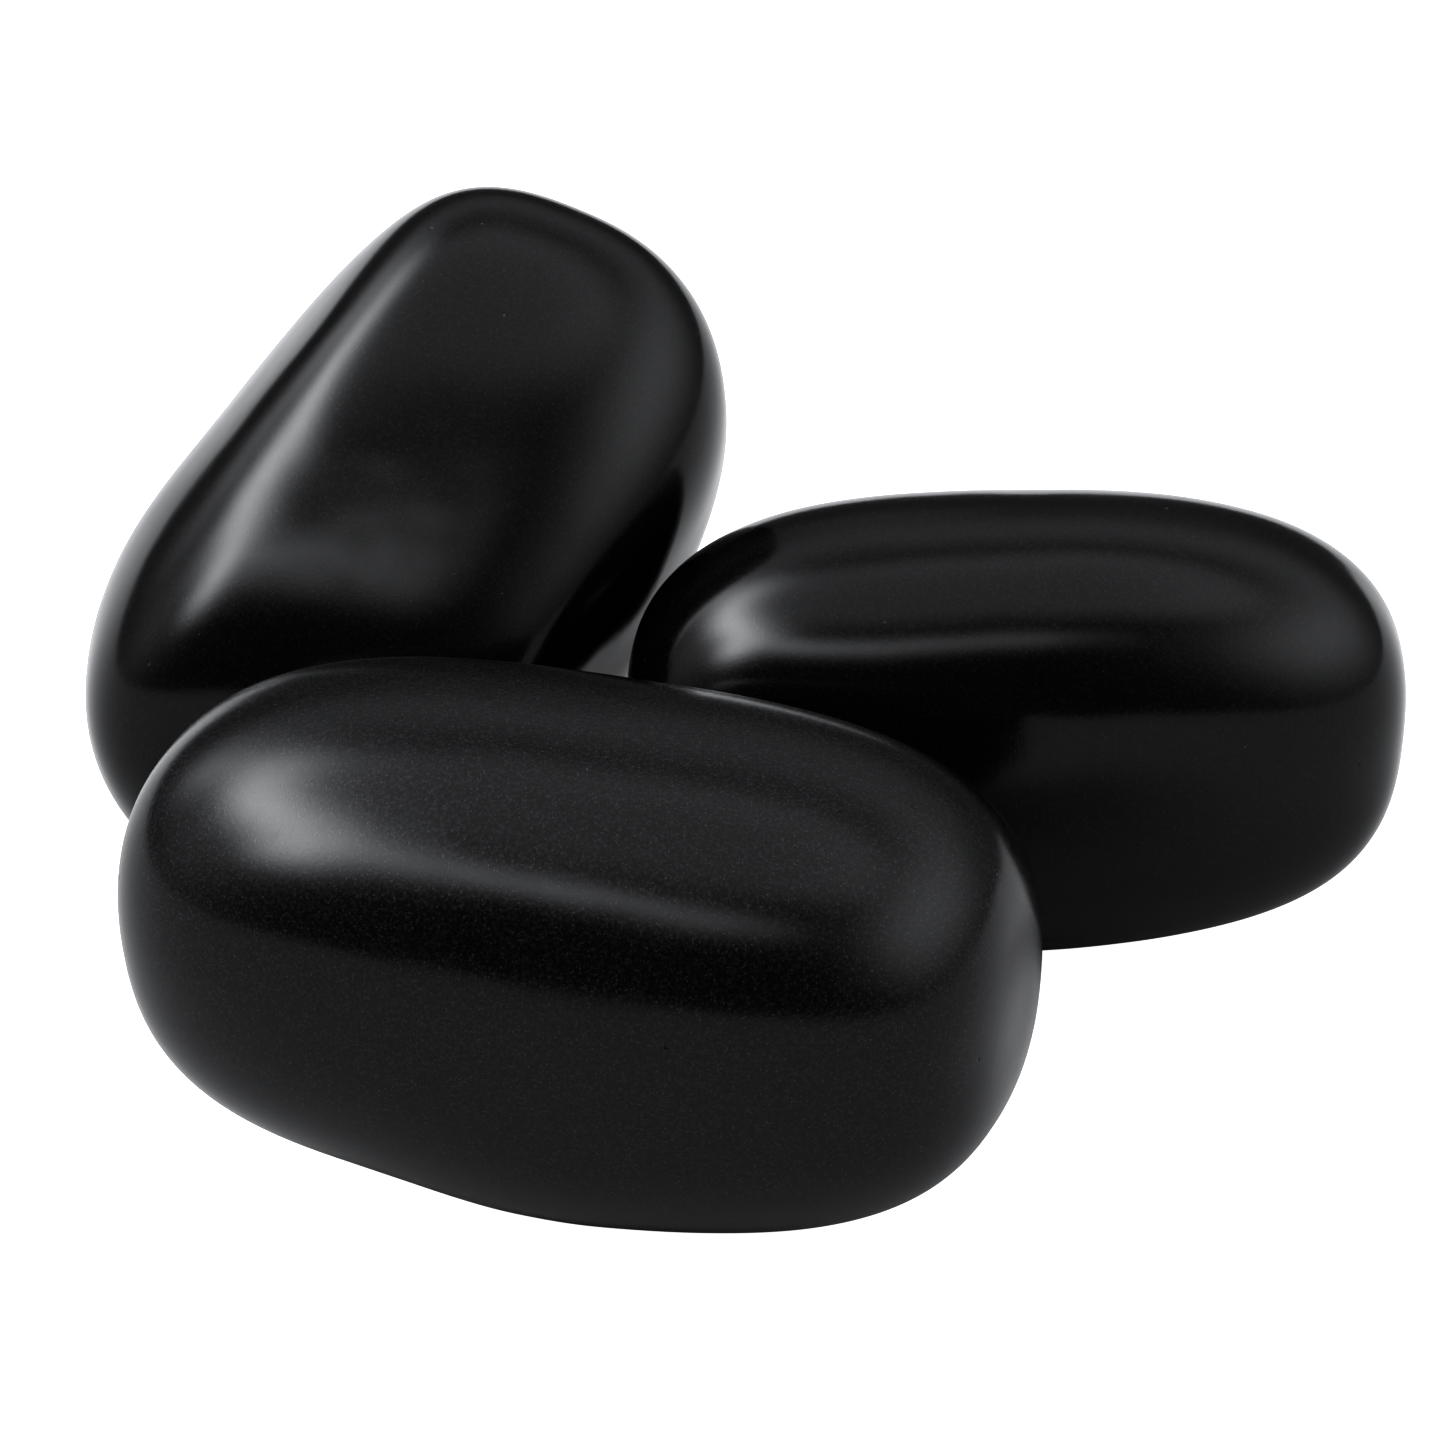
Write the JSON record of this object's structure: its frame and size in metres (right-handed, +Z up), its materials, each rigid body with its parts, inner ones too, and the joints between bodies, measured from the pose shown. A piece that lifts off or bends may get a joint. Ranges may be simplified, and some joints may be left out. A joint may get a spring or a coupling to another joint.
{
  "type": "tumbled black agate stones",
  "caption": "Smooth tumbled black agate stones with a polished skin, lying in a small close group, for a display, a bowl or a game piece set.",
  "frame": {"origin": "middle of the group's footprint, on the surface that the stones rest on", "axes": "+Z up, -Y the front of the group, +X to the right, along the front stone's length within about 17 degrees"},
  "size_m": [0.0434, 0.042, 0.0218],
  "materials": {
    "black_agate_grained": "tumble polished, with a fine grain in the polish",
    "black_agate": "tumble polished, smooth",
    "black_agate_pitted": "tumble polished, smooth with a few tiny pits"
  },
  "bodies": {
    "root": {"front_stone": "black_agate_grained", "right_stone": "black_agate", "rear_stone": "black_agate_pitted"}
  },
  "joints": []
}
